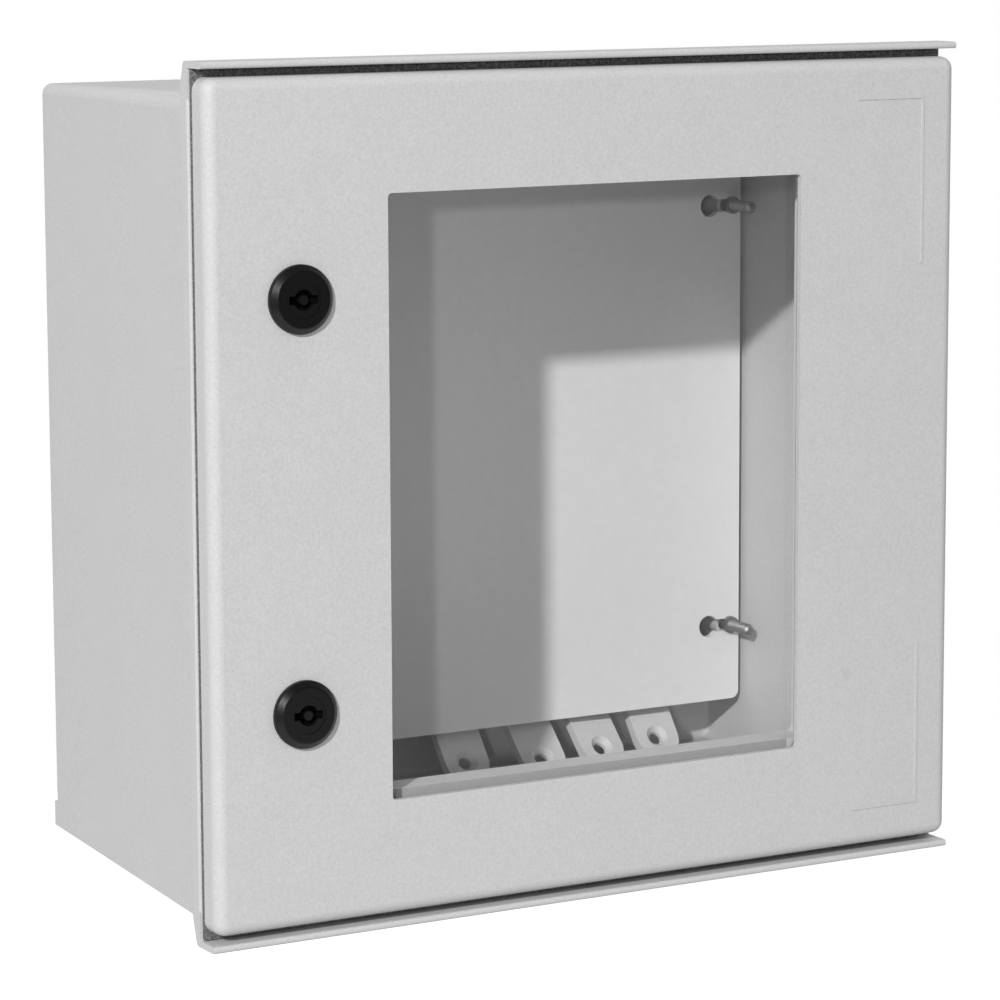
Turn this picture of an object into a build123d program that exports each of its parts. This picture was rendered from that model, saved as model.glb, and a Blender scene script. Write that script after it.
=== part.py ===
from build123d import *
from math import cos, radians, sin, tan
import os

# Polyester wall enclosure with a glazed door, hinged on the right and locked on the left.
# Millimetres. X to the right, Y from the door towards the wall, Z up.
# The origin is the centre of the flat back, which stands against the wall at Y = 0.

# Overall sizes
overall_depth = 205.0  # wall plane to door face
lip_width = 405.0
lip_height = 400.0

# Body shell, moulded in one piece
wall = 4.0
draft = 0.9  # degrees, opening towards the mouth
side_step = 8.0  # side flange beyond the shell wall
top_step = 14.4  # lip beyond the shell wall
shell_corner = 5.0  # upright corners, at the back
back_edge_radius = 4.5
core_corner = 4.0
core_floor_radius = 3.6
widest_fillet = 0.9  # share of a corner radius
flange_setback = 16.0  # flange front behind the door face
flange_thickness = 8.0
flange_edge_radius = 1.2
lip_thickness = 3.2
lip_setback = 1.3  # lip front behind the door face
lip_nose_radius = 1.4
lip_root_radius = 0.5
lip_heel_radius = 2.5
web_edge_thickness = 3.5
web_slope = 5.0  # the web is thicker by this at the shell
upstand_thickness = 3.0
bottom_web_drop = 6.4  # the bottom webs stand this far below the shell at the flange
bottom_web_thickness = 3.5
bottom_web_bite = 12.0  # they reach this far up into the side walls
upstand_height = 7.5
rim_seal_thickness = 2.7
rim_seal_side_edge = 1.3  # rim seal inside the flange's side edges
rim_seal_hinge_edge = 3.5  # thinner from here to its ends, where the door's edge turns past
rim_seal_hinge_thickness = 1.2
rim_seal_clearance = 0.1

# Mounting plate on four pillars
pillar_height = 31.0
plate_thickness = 4.0
plate_side_gap = 3.1  # plate edge to the side wall
plate_end_gap = 28.2  # plate edge to the top and bottom walls
plate_corner = 4.5
stud_side_edge = 5.9  # stud centre inside the plate's side edge
stud_end_edge = 40.0  # stud centre inside the plate's top and bottom edges
stud_diameter = 6.0
stud_reach = 20.0  # stud in front of the plate
stud_tip_chamfer = 1.2
stud_grip = 12.0  # stud inside its insert
stud_collar_diameter = 9.0
stud_collar_thickness = 2.5
keyhole_diameter = 11.5
keyhole_offset = 13.0  # round end inboard of the stud
keyhole_slot = 6.6
pillar_diameter = 12.0
gusset_thickness = 4.0
core_margin = 20.0  # core pockets run this far, past the core's side
insert_wall = 1.2
stud_insert_length = 14.0

# Wall fixing inserts in the back
wall_fixing_side_edge = 31.5  # insert centre inside the shell's side wall, at the mouth
wall_fixing_end_edge = 35.6
wall_thread_diameter = 6.8  # core of an M8 thread
wall_insert_length = 14.0
wall_boss_diameter = 20.0
wall_boss_height = 14.0

# Door, moulded in one piece
door_side_inset = 1.0  # door edge inside the side flange
door_lip_gap = 3.9
door_rim_depth = 13.0
door_skin = 3.0
door_rim_thickness = 3.0
door_corner = 6.0
door_edge_radius = 5.5
door_inner_radius = 2.0
hinge_rim_relief = 1.5  # the rim is shallower on the hinge side
gasket_width = 5.6
gasket_rib_thickness = 2.0
gasket_rib_height = 4.0
mark_side_edge = 19.5  # moulded mark inside the door's side edge
mark_end_edge = 18.9
mark_length_x = 38.0
mark_length_z = 79.5
mark_width = 1.2
mark_height = 0.45

# Window in the door
window_width = 223.0
window_height = 278.6
window_corner = 2.0
seal_thickness = 1.5
seal_inset = 0.8  # seal edge outside the opening
pane_thickness = 3.0
pane_overlap = 14.5
pane_corner = 4.0
frame_overlap = 11.5  # frame edge outside the opening on three sides
frame_sill_rise = 3.5  # bottom rail above the opening's edge
frame_width = 14.0
frame_thickness = 3.0
frame_rib_thickness = 3.0
frame_rib_depth = 13.0
frame_corner = 6.0
frame_boss_diameter = 7.6
frame_screw_diameter = 4.0
frame_screw_depth = 5.0
frame_screw_head_diameter = 7.6
frame_screw_head_height = 2.6
frame_screw_edge = 4.0  # screw centre inside the frame's outer edge
frame_side_pitch = 110.0
frame_rail_pitch = 140.0

# Concealed hinges
hinge_end_edge = 58.9  # hinge centre inside the door's top and bottom edges
hinge_edge_distance = 3.25  # pin centre inside the door's edge
hinge_setback = 9.0  # pin centre behind the door face
hinge_pin_diameter = 3.0
hinge_running_clearance = 0.08
hinge_fit_clearance = 0.02
hinge_knuckle_diameter = 5.5
hinge_knuckle_length = 14.0
hinge_side_gap = 0.4
hinge_lug_length = 12.0
hinge_lug_web = 1.0  # web of a lug beyond the pin centre, inside the door's rounded edge
hinge_notch_setback = 5.6
bracket_foot_thickness = 2.0
bracket_foot_length = 44.0
bracket_foot_inset = 0.5  # foot beside the upstand
bracket_foot_overhang = 1.35  # foot beyond the pin centre
bracket_screw_pitch = 30.0
bracket_screw_diameter = 2.5
bracket_screw_head = 5.0
bracket_screw_length = 6.0

# Quarter-turn locks and their keepers
lock_end_edge = 98.9  # lock centre inside the door's top and bottom edges
lock_head_diameter = 31.4
lock_head_edge = 2.2
lock_head_height = 4.8
lock_face_diameter = 26.0
lock_head_radius = 1.0
lock_shank_diameter = 20.0
lock_shank_length = 22.0
lock_hole_clearance = 0.2
lock_seal_width = 3.0
lock_seal_thickness = 1.0
lock_nut_across = 25.0
lock_nut_thickness = 6.0
lock_thread_clearance = 0.05
rotor_head_diameter = 16.8
rotor_recess = 0.3  # rotor face inside the head's face
rotor_seat = 8.0  # rotor shoulder behind the door face
rotor_shaft_diameter = 11.9
rotor_clearance = 0.08
rotor_end_gap = 0.1
key_bore_diameter = 9.6
key_ear_span = 14.4
key_ear_width = 3.8
key_pin_diameter = 4.4
key_depth = 9.0
cam_setback = 26.0
cam_thickness = 3.0
cam_reach = 29.0
cam_width = 16.0
cam_square = 8.0
cam_square_clearance = 0.05
cam_bolt_diameter = 5.0
cam_bolt_grip = 10.0
cam_bolt_head = 8.0
cam_bolt_head_height = 3.5
cam_bolt_flange_diameter = 12.0
cam_bolt_flange_thickness = 1.2
cam_bolt_gap = 0.2
keeper_gap = 0.9  # cam front behind the keeper
keeper_thickness = 2.0
keeper_reach = 12.0
keeper_leg = 22.0
keeper_screw_setback = 13.0  # screws behind the keeper's front
keeper_width = 30.0
keeper_bend_radius = 0.2
keeper_outer_radius = 1.5
keeper_screw_diameter = 4.0
keeper_screw_depth = 4.5
keeper_screw_head_diameter = 7.2
keeper_screw_head_height = 2.4
keeper_screw_pitch = 16.0
rail_face_inset = 2.5  # keeper rail stands this far inside the wall at the mouth
rail_width = 34.0
screw_clearance = 0.05

# Wall-fixing lugs, loose in the body until they are screwed to the back
lug_hole_pitch = 40.0
lug_width = 25.0
lug_thickness = 5.0
lug_hole_diameter = 7.0
lug_countersink_depth = 2.5
lug_slot_length = 7.0
lug_slot_width = 7.0
lug_rest_gap = 0.1
first_lug_x = 18.6
first_lug_lean = 51.0  # degrees from the floor
second_lug_x = 60.1
second_lug_lean = 42.0
second_lug_turn = 2.0  # degrees
third_lug_x = 98.0
third_lug_lean = 47.0
third_lug_turn = -3.0
fourth_lug_x = 134.0
fourth_lug_lean = 53.0

# Sizes that follow from those above
shell_depth = overall_depth - flange_setback
shell_width = lip_width - 2 * side_step
shell_height = lip_height - 2 * top_step
mouth_width = shell_width - 2 * wall
mouth_height = shell_height - 2 * wall
flange_y = flange_setback - overall_depth
web_root_z = mouth_height / 2 + wall / 2
shell_taper = 2 * shell_depth * tan(radians(draft))
core_taper = 2 * (shell_depth - wall) * tan(radians(draft))
door_width = lip_width - 2 * door_side_inset
door_height = lip_height - 2 * (lip_thickness + door_lip_gap)
seal_line_width = mouth_width + upstand_thickness
seal_line_height = mouth_height + upstand_thickness
gasket_face = flange_setback - upstand_height
rim_seal_height = lip_height - 2 * (lip_thickness + lip_root_radius + rim_seal_clearance)
rim_seal_inner_width = mouth_width + 2 * (upstand_thickness + rim_seal_clearance)
rim_seal_inner_height = mouth_height + 2 * (upstand_thickness + rim_seal_clearance)
hinge_x = door_width / 2 - hinge_edge_distance
hinge_z = door_height / 2 - hinge_end_edge
lock_z = door_height / 2 - lock_end_edge
hinge_y = hinge_setback - overall_depth
lug_radius = hinge_edge_distance
lug_length = lug_hole_pitch + lug_width
lug_centre = hinge_knuckle_length / 2 + hinge_side_gap + hinge_lug_length / 2
pane_front = door_skin + seal_thickness
pane_back = pane_front + pane_thickness
pane_width = window_width + 2 * pane_overlap
pane_height = window_height + 2 * pane_overlap
frame_back = pane_back + frame_thickness
frame_outer_width = window_width + 2 * (frame_overlap + frame_width)
frame_outer_height = window_height + 2 * (frame_overlap + frame_width)
frame_opening_width = window_width + 2 * frame_overlap
frame_opening_top = window_height / 2 + frame_overlap
frame_opening_bottom = frame_sill_rise - window_height / 2
frame_opening_height = frame_opening_top - frame_opening_bottom
frame_opening_centre = (frame_opening_top + frame_opening_bottom) / 2
frame_screw_x = frame_outer_width / 2 - frame_screw_edge
frame_screw_z = frame_outer_height / 2 - frame_screw_edge
frame_screw_spots = []
for side in (-1, 1):
    frame_screw_spots += [(side * frame_screw_x, step * frame_side_pitch) for step in (-1, 0, 1)]
    frame_screw_spots += [(side * frame_rail_pitch / 2, end * frame_screw_z) for end in (-1, 1)]
plate_back = overall_depth - wall - pillar_height
plate_setback = plate_back - plate_thickness
plate_taper = 2 * (plate_setback - flange_setback) * tan(radians(draft))
plate_width = mouth_width - plate_taper - 2 * plate_side_gap
plate_height = mouth_height - plate_taper - 2 * plate_end_gap
stud_span_x = plate_width - 2 * stud_side_edge
stud_span_z = plate_height - 2 * stud_end_edge
wall_fixing_span_x = shell_width - 2 * (wall_fixing_side_edge + wall / 2)
wall_fixing_span_z = shell_height - 2 * (wall_fixing_end_edge + wall / 2)
stud_insert_diameter = stud_diameter + 2 * insert_wall
wall_insert_diameter = wall_thread_diameter + 2 * insert_wall
rail_face = mouth_width / 2 - rail_face_inset
keeper_back = cam_setback - keeper_gap
keeper_front = keeper_back - keeper_thickness
keeper_screw_y = keeper_front + keeper_screw_setback - overall_depth
bracket_foot_left = mouth_width / 2 + upstand_thickness + bracket_foot_inset
bracket_foot_right = hinge_x + bracket_foot_overhang
bracket_screw_x = (bracket_foot_left + bracket_foot_right) / 2
bracket_foot_front = flange_setback - bracket_foot_thickness
bracket_screw_neck = bracket_foot_front + (bracket_screw_head - bracket_screw_diameter) / 2
lock_x = -(window_width + door_width) / 4
mark_corner_x = door_width / 2 - mark_side_edge
mark_corner_z = door_height / 2 - mark_end_edge
lug_places = [  # X of the foot, lean, turn
    (first_lug_x, first_lug_lean, 0),
    (second_lug_x, second_lug_lean, second_lug_turn),
    (third_lug_x, third_lug_lean, third_lug_turn),
    (fourth_lug_x, fourth_lug_lean, 0),
]
bracket_screw_spots = [(bracket_screw_x, end * bracket_screw_pitch / 2) for end in (-1, 1)]
keeper_screw_spots = [(keeper_screw_y, end * keeper_screw_pitch / 2) for end in (-1, 1)]
lock_levels = {"upper": lock_z, "lower": -lock_z}
hinge_levels = {"upper": hinge_z, "lower": -hinge_z}

os.makedirs("parts", exist_ok=True)


def behind_door(distance):
    """The plane that far behind the door face. Its sketch x and y are X and Z, and it faces the viewer."""
    return Plane.XZ.offset(overall_depth - distance)


def turning_plane(x, z):
    """The plane of a turned profile: sketch x is a radius and sketch y the distance behind the door face."""
    return Plane(origin=(x, -overall_depth, z), x_dir=(1, 0, 0), z_dir=(0, 0, 1))


def turning_axis(x, z):
    """The axis, square to the door, that a turned profile goes round."""
    return Axis((x, 0, z), (0, 1, 0))


def leaning_plane(x, lean, turn):
    """The underside of a lug that stands on the body's drafted floor and leans on its back wall."""
    reach = cos(radians(lean))
    along = Vector(sin(radians(turn)) * reach, cos(radians(turn)) * reach, sin(radians(lean)))
    facing = Vector(0, 0, 1) - along * sin(radians(lean))
    foot_y = -wall - lug_rest_gap - along.Y * lug_length
    foot_z = (foot_y - flange_y) * tan(radians(draft)) - mouth_height / 2 + lug_rest_gap
    middle = Vector(x, foot_y, foot_z) + along * (lug_length / 2)
    return Plane(origin=middle, x_dir=along, z_dir=facing)


def keep(piece, name):
    """Label a finished piece and write it to its own file."""
    piece.label = name
    export_step(piece, f"parts/{name}.step")


# The mould's core: the drafted inside of the body, with pockets that leave pillars, bosses and rails
with BuildPart() as mould_core:
    with BuildSketch(Plane.XZ.offset(wall)):
        RectangleRounded(mouth_width - core_taper, mouth_height - core_taper, core_corner)
    extrude(amount=shell_depth - wall + upstand_height, taper=-draft)
    core_floor = mould_core.faces().sort_by(Axis.Y)[-1]
    fillet(core_floor.edges(), min(core_floor_radius, widest_fillet * core_corner))
    with BuildSketch(Plane.XZ.offset(wall)):
        with GridLocations(stud_span_x, stud_span_z, 2, 2):
            Circle(pillar_diameter / 2)
        with GridLocations(stud_span_x + core_margin, stud_span_z, 2, 2):
            Rectangle(core_margin, gusset_thickness)
    extrude(amount=pillar_height, mode=Mode.SUBTRACT)
    with BuildSketch(Plane.XZ.offset(wall)):
        with GridLocations(wall_fixing_span_x, wall_fixing_span_z, 2, 2):
            Circle(wall_boss_diameter / 2)
    extrude(amount=wall_boss_height, mode=Mode.SUBTRACT)
    with BuildSketch(Plane.XZ.offset(wall)):
        with GridLocations(0, 2 * lock_z, 1, 2):
            with Locations((-rail_face, 0)):
                Rectangle(core_margin, rail_width, align=(Align.MAX, Align.CENTER))
    extrude(amount=overall_depth - wall - keeper_front, mode=Mode.SUBTRACT)

# The side flanges, with their long edges rounded
with BuildPart() as side_flanges:
    with BuildSketch(behind_door(flange_setback + flange_thickness)):
        Rectangle(lip_width, shell_height)
    extrude(amount=flange_thickness)
    fillet(side_flanges.edges().filter_by(Axis.Z), flange_edge_radius)

# The bottom webs, which carry the side walls down to brace the bottom lip
shell_back_half = (shell_height - shell_taper) / 2
side_back_half = (shell_width - shell_taper) / 2
with BuildPart() as bottom_webs:
    with BuildSketch(Plane.YZ):
        with BuildLine():
            Polyline(
                (0, bottom_web_bite - shell_back_half),
                (0, -shell_back_half),
                (flange_y + flange_thickness, -shell_height / 2 - bottom_web_drop),
                (flange_y + web_edge_thickness, -shell_height / 2 - bottom_web_drop),
                (flange_y + web_edge_thickness, bottom_web_bite - shell_height / 2),
                close=True,
            )
        make_face()
    extrude(amount=lip_width / 2, both=True)
    with BuildSketch(Plane.XY):
        with BuildLine():
            Polyline(
                (side_back_half, 0),
                (shell_width / 2, -shell_depth),
                (shell_width / 2 - bottom_web_thickness, -shell_depth),
                (side_back_half - bottom_web_thickness, 0),
                close=True,
            )
        make_face()
        mirror(about=Plane.YZ)
    extrude(amount=lip_height, both=True, mode=Mode.INTERSECT)

# Body: drafted shell, side flanges, top and bottom lips and the sealing upstand round the mouth
with BuildPart() as enclosure_body:
    with BuildSketch(Plane.XZ):
        RectangleRounded(shell_width - shell_taper, shell_height - shell_taper, shell_corner)
    extrude(amount=shell_depth, taper=-draft)
    shell_back = enclosure_body.faces().sort_by(Axis.Y)[-1]
    fillet(shell_back.edges(), min(back_edge_radius, widest_fillet * shell_corner))
    add(side_flanges.part)
    add(bottom_webs.part)
    with BuildSketch(Plane.YZ):
        with BuildLine():
            FilletPolyline(
                (flange_y, web_root_z),
                (flange_y, lip_height / 2 - lip_thickness),
                (lip_setback - overall_depth, lip_height / 2 - lip_thickness),
                (lip_setback - overall_depth, lip_height / 2),
                (flange_y + web_edge_thickness, lip_height / 2),
                (flange_y + web_edge_thickness + web_slope, web_root_z),
                radius=[0, lip_root_radius, lip_nose_radius, lip_nose_radius, lip_heel_radius, 0],
                close=True,
            )
        make_face()
        mirror(about=Plane.XZ)
    extrude(amount=lip_width / 2, both=True)
    with BuildSketch(behind_door(flange_setback)):
        RectangleRounded(
            mouth_width + 2 * upstand_thickness,
            mouth_height + 2 * upstand_thickness,
            core_corner + upstand_thickness,
        )
    extrude(amount=upstand_height)
    add(mould_core.part, mode=Mode.SUBTRACT)
    with BuildSketch(behind_door(plate_back)):
        with GridLocations(stud_span_x, stud_span_z, 2, 2):
            Circle(stud_insert_diameter / 2 + screw_clearance)
    extrude(amount=-stud_insert_length, mode=Mode.SUBTRACT)
    with BuildSketch(Plane.XZ):
        with GridLocations(wall_fixing_span_x, wall_fixing_span_z, 2, 2):
            Circle(wall_insert_diameter / 2 + screw_clearance)
    extrude(amount=wall_insert_length, mode=Mode.SUBTRACT)
    with BuildSketch(behind_door(flange_setback)):
        with GridLocations(0, 2 * hinge_z, 1, 2):
            with Locations(*bracket_screw_spots):
                Circle(bracket_screw_diameter / 2 + screw_clearance)
    extrude(amount=bracket_foot_thickness - bracket_screw_length, mode=Mode.SUBTRACT)
    with BuildSketch(Plane.YZ.offset(-rail_face)):
        with GridLocations(0, 2 * lock_z, 1, 2):
            with Locations(*keeper_screw_spots):
                Circle(keeper_screw_diameter / 2 + screw_clearance)
    extrude(amount=-keeper_screw_depth, mode=Mode.SUBTRACT)
keep(enclosure_body.part, "enclosure_body")

# Mounting plate with a keyhole slot at each stud
with BuildPart() as mounting_plate:
    with BuildSketch(behind_door(plate_back)):
        RectangleRounded(plate_width, plate_height, plate_corner)
        with GridLocations(stud_span_x - 2 * keyhole_offset, stud_span_z, 2, 2):
            Circle(keyhole_diameter / 2, mode=Mode.SUBTRACT)
        with GridLocations(stud_span_x - keyhole_offset, stud_span_z, 2, 2):
            SlotCenterToCenter(keyhole_offset, keyhole_slot, mode=Mode.SUBTRACT)
    extrude(amount=plate_thickness)
keep(mounting_plate.part, "mounting_plate")

# Threaded inserts moulded into the pillars, and turned studs whose collars clamp the plate
with BuildPart() as stud_inserts:
    with BuildSketch(behind_door(plate_back)):
        with GridLocations(stud_span_x, stud_span_z, 2, 2):
            Circle(stud_insert_diameter / 2)
            Circle(stud_diameter / 2 + screw_clearance, mode=Mode.SUBTRACT)
    extrude(amount=-stud_insert_length)
keep(stud_inserts.part, "stud_inserts")

with BuildPart() as plate_studs:
    for x in (-stud_span_x / 2, stud_span_x / 2):
        for z in (-stud_span_z / 2, stud_span_z / 2):
            with BuildSketch(turning_plane(x, z)):
                with BuildLine():
                    Polyline(
                        (0, plate_setback - stud_reach),
                        (stud_diameter / 2 - stud_tip_chamfer, plate_setback - stud_reach),
                        (stud_diameter / 2, plate_setback - stud_reach + stud_tip_chamfer),
                        (stud_diameter / 2, plate_setback - stud_collar_thickness),
                        (stud_collar_diameter / 2, plate_setback - stud_collar_thickness),
                        (stud_collar_diameter / 2, plate_setback),
                        (stud_diameter / 2, plate_setback),
                        (stud_diameter / 2, plate_back + stud_grip),
                        (0, plate_back + stud_grip),
                        close=True,
                    )
                make_face()
            revolve(axis=turning_axis(x, z))
keep(plate_studs.part, "plate_studs")

# Threaded inserts moulded into the back, for wall fixings
with BuildPart() as wall_inserts:
    with BuildSketch(Plane.XZ):
        with GridLocations(wall_fixing_span_x, wall_fixing_span_z, 2, 2):
            Circle(wall_insert_diameter / 2)
            Circle(wall_thread_diameter / 2, mode=Mode.SUBTRACT)
    extrude(amount=wall_insert_length)
keep(wall_inserts.part, "wall_inserts")

# Black seal on the flange, behind the door's rim on every side but the hinge side
with BuildPart() as rim_seal:
    with BuildSketch(behind_door(flange_setback)):
        Rectangle(lip_width - 2 * rim_seal_side_edge, rim_seal_height)
        RectangleRounded(
            rim_seal_inner_width,
            rim_seal_inner_height,
            core_corner + upstand_thickness + rim_seal_clearance,
            mode=Mode.SUBTRACT,
        )
        with Locations((mouth_width / 2, 0)):
            Rectangle(
                lip_width, rim_seal_inner_height, align=(Align.MIN, Align.CENTER), mode=Mode.SUBTRACT
            )
    extrude(amount=rim_seal_thickness)
    with BuildSketch(behind_door(flange_setback - rim_seal_hinge_thickness)):
        with Locations((hinge_x - rim_seal_hinge_edge, 0)):
            Rectangle(lip_width, lip_height, align=(Align.MIN, Align.CENTER))
    extrude(amount=rim_seal_thickness, mode=Mode.SUBTRACT)
keep(rim_seal.part, "rim_seal")

# Door: a shallow pan with a window, hinge lugs in its right rim and a channel for the gasket
with BuildPart() as door_panel:
    with BuildSketch(behind_door(door_rim_depth)):
        RectangleRounded(door_width, door_height, door_corner)
    extrude(amount=door_rim_depth)
    fillet(door_panel.faces().sort_by(Axis.Y)[0].edges(), door_edge_radius)
    with BuildSketch(behind_door(door_rim_depth)):
        RectangleRounded(
            door_width - 2 * door_rim_thickness,
            door_height - 2 * door_rim_thickness,
            door_corner - door_rim_thickness,
        )
    extrude(amount=door_rim_depth - door_skin, mode=Mode.SUBTRACT)
    fillet(door_panel.faces().filter_by(Plane.XZ).sort_by(Axis.Y)[1].edges(), door_inner_radius)
    with BuildSketch(behind_door(door_rim_depth)):
        with Locations((door_width / 2, 0)):
            Rectangle(2 * door_rim_thickness + 2 * door_side_inset, door_height)
    extrude(amount=hinge_rim_relief, mode=Mode.SUBTRACT)
    with BuildSketch(behind_door(door_skin + gasket_rib_height)):
        RectangleRounded(seal_line_width - gasket_width, seal_line_height - gasket_width, core_corner)
        RectangleRounded(
            seal_line_width - gasket_width - 2 * gasket_rib_thickness,
            seal_line_height - gasket_width - 2 * gasket_rib_thickness,
            core_corner - gasket_rib_thickness,
            mode=Mode.SUBTRACT,
        )
    extrude(amount=gasket_rib_height)
    with BuildSketch(behind_door(pane_back)):
        with Locations(*frame_screw_spots):
            Circle(frame_boss_diameter / 2)
    extrude(amount=pane_back - door_skin)
    with BuildSketch(behind_door(pane_back)):
        with Locations(*frame_screw_spots):
            Circle(frame_screw_diameter / 2 + screw_clearance)
    extrude(amount=frame_screw_depth, mode=Mode.SUBTRACT)
    with BuildSketch(behind_door(door_skin)):
        RectangleRounded(window_width, window_height, window_corner)
        with GridLocations(0, 2 * lock_z, 1, 2):
            with Locations((lock_x, 0)):
                Circle(lock_shank_diameter / 2 + lock_hole_clearance)
    extrude(amount=door_skin, mode=Mode.SUBTRACT)
    for level in hinge_levels.values():
        with BuildSketch(behind_door(door_rim_depth)):
            with Locations((door_width / 2 + door_side_inset, level)):
                Rectangle(
                    hinge_edge_distance + lug_radius + door_side_inset,
                    2 * (lug_centre - hinge_lug_length / 2),
                    align=(Align.MAX, Align.CENTER),
                )
        extrude(amount=door_rim_depth - hinge_notch_setback, mode=Mode.SUBTRACT)
        for end in (-1, 1):
            with BuildSketch(Plane.XY.offset(level + end * lug_centre)):
                with Locations((hinge_x, hinge_y)):
                    Circle(lug_radius)
                with Locations((hinge_x + hinge_lug_web, hinge_y)):
                    Rectangle(
                        lug_radius + hinge_lug_web, hinge_setback - door_skin, align=(Align.MAX, Align.MAX)
                    )
            extrude(amount=hinge_lug_length / 2, both=True)
        with BuildSketch(Plane.XY.offset(level)):
            with Locations((hinge_x, hinge_y)):
                Circle(hinge_pin_diameter / 2 + hinge_running_clearance)
        extrude(amount=lug_centre + hinge_lug_length, both=True, mode=Mode.SUBTRACT)
    with BuildSketch(behind_door(0)):
        for end in (-1, 1):
            with Locations((mark_corner_x, end * mark_corner_z)):
                Rectangle(mark_length_x, mark_width, align=(Align.MAX, Align.CENTER))
            with Locations((mark_corner_x, end * (mark_corner_z - mark_length_z / 2))):
                Rectangle(mark_width, mark_length_z + mark_width)
    extrude(amount=mark_height)
keep(door_panel.part, "door_panel")

# Foamed gasket in the door, resting on the body's upstand
with BuildPart() as door_gasket:
    with BuildSketch(behind_door(gasket_face)):
        RectangleRounded(
            seal_line_width + gasket_width, seal_line_height + gasket_width, core_corner + gasket_width
        )
        RectangleRounded(
            seal_line_width - gasket_width, seal_line_height - gasket_width, core_corner, mode=Mode.SUBTRACT
        )
    extrude(amount=gasket_face - door_skin)
keep(door_gasket.part, "door_gasket")

# Window: seal, clear pane and the frame that screws them to the door
with BuildPart() as window_seal:
    with BuildSketch(behind_door(pane_front)):
        RectangleRounded(pane_width, pane_height, pane_corner)
        RectangleRounded(
            window_width + 2 * seal_inset, window_height + 2 * seal_inset, pane_corner, mode=Mode.SUBTRACT
        )
    extrude(amount=seal_thickness)
keep(window_seal.part, "window_seal")

with BuildPart() as window_pane:
    with BuildSketch(behind_door(pane_back)):
        RectangleRounded(pane_width, pane_height, pane_corner)
    extrude(amount=pane_thickness)
keep(window_pane.part, "window_pane")

with BuildPart() as window_frame:
    with BuildSketch(behind_door(frame_back)):
        RectangleRounded(frame_outer_width, frame_outer_height, frame_corner)
    extrude(amount=frame_thickness)
    with BuildSketch(behind_door(frame_back + frame_rib_depth)):
        with Locations((0, frame_opening_centre)):
            RectangleRounded(
                frame_opening_width + 2 * frame_rib_thickness,
                frame_opening_height + 2 * frame_rib_thickness,
                frame_corner,
            )
    extrude(amount=frame_rib_depth)
    with BuildSketch(behind_door(frame_back + frame_rib_depth)):
        with Locations((0, frame_opening_centre)):
            RectangleRounded(frame_opening_width, frame_opening_height, frame_corner - frame_rib_thickness)
        with Locations(*frame_screw_spots):
            Circle(frame_screw_diameter / 2 + screw_clearance)
    extrude(amount=frame_rib_depth + frame_thickness, mode=Mode.SUBTRACT)
keep(window_frame.part, "window_frame")

with BuildPart() as window_frame_screws:
    with BuildSketch(behind_door(frame_back + frame_screw_head_height)):
        with Locations(*frame_screw_spots):
            Circle(frame_screw_head_diameter / 2)
    extrude(amount=frame_screw_head_height)
    with BuildSketch(behind_door(frame_back)):
        with Locations(*frame_screw_spots):
            Circle(frame_screw_diameter / 2)
    extrude(amount=frame_thickness + frame_screw_depth)
keep(window_frame_screws.part, "window_frame_screws")

# Concealed hinges: a bracket on the flange holds the pin that the door's lugs turn on
for side, level in hinge_levels.items():
    with BuildPart() as hinge_bracket:
        with BuildSketch(Plane.XY.offset(level)):
            with BuildLine():
                Polyline(
                    (bracket_foot_left, flange_y),
                    (bracket_foot_left, bracket_foot_front - overall_depth),
                    (bracket_foot_right, bracket_foot_front - overall_depth),
                    (bracket_foot_right, flange_y),
                    close=True,
                )
            make_face()
        extrude(amount=bracket_foot_length / 2, both=True)
        with BuildSketch(Plane.XY.offset(level)):
            with Locations((hinge_x, hinge_y)):
                Circle(hinge_knuckle_diameter / 2)
                Rectangle(
                    hinge_knuckle_diameter / 2, flange_setback - hinge_setback, align=(Align.MAX, Align.MIN)
                )
        extrude(amount=hinge_knuckle_length / 2, both=True)
        with BuildSketch(Plane.XY.offset(level)):
            with Locations((hinge_x, hinge_y)):
                Circle(hinge_pin_diameter / 2 + hinge_fit_clearance)
        extrude(amount=hinge_knuckle_length, both=True, mode=Mode.SUBTRACT)
        with Locations(behind_door(bracket_foot_front)):
            with Locations(*[(x, level + z) for x, z in bracket_screw_spots]):
                CounterSinkHole(
                    bracket_screw_diameter / 2 + screw_clearance, bracket_screw_head / 2 + screw_clearance
                )
    keep(hinge_bracket.part, f"{side}_hinge_bracket")

    with BuildPart() as hinge_pin:
        with BuildSketch(Plane.XY.offset(level)):
            with Locations((hinge_x, hinge_y)):
                Circle(hinge_pin_diameter / 2)
        extrude(amount=lug_centre + hinge_lug_length / 2, both=True)
    keep(hinge_pin.part, f"{side}_hinge_pin")

with BuildPart() as hinge_bracket_screws:
    for level in hinge_levels.values():
        for end in (-1, 1):
            z = level + end * bracket_screw_pitch / 2
            with BuildSketch(turning_plane(bracket_screw_x, z)):
                with BuildLine():
                    Polyline(
                        (0, bracket_foot_front),
                        (bracket_screw_head / 2, bracket_foot_front),
                        (bracket_screw_diameter / 2, bracket_screw_neck),
                        (bracket_screw_diameter / 2, bracket_foot_front + bracket_screw_length),
                        (0, bracket_foot_front + bracket_screw_length),
                        close=True,
                    )
                make_face()
            revolve(axis=turning_axis(bracket_screw_x, z))
keep(hinge_bracket_screws.part, "hinge_bracket_screws")

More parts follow.
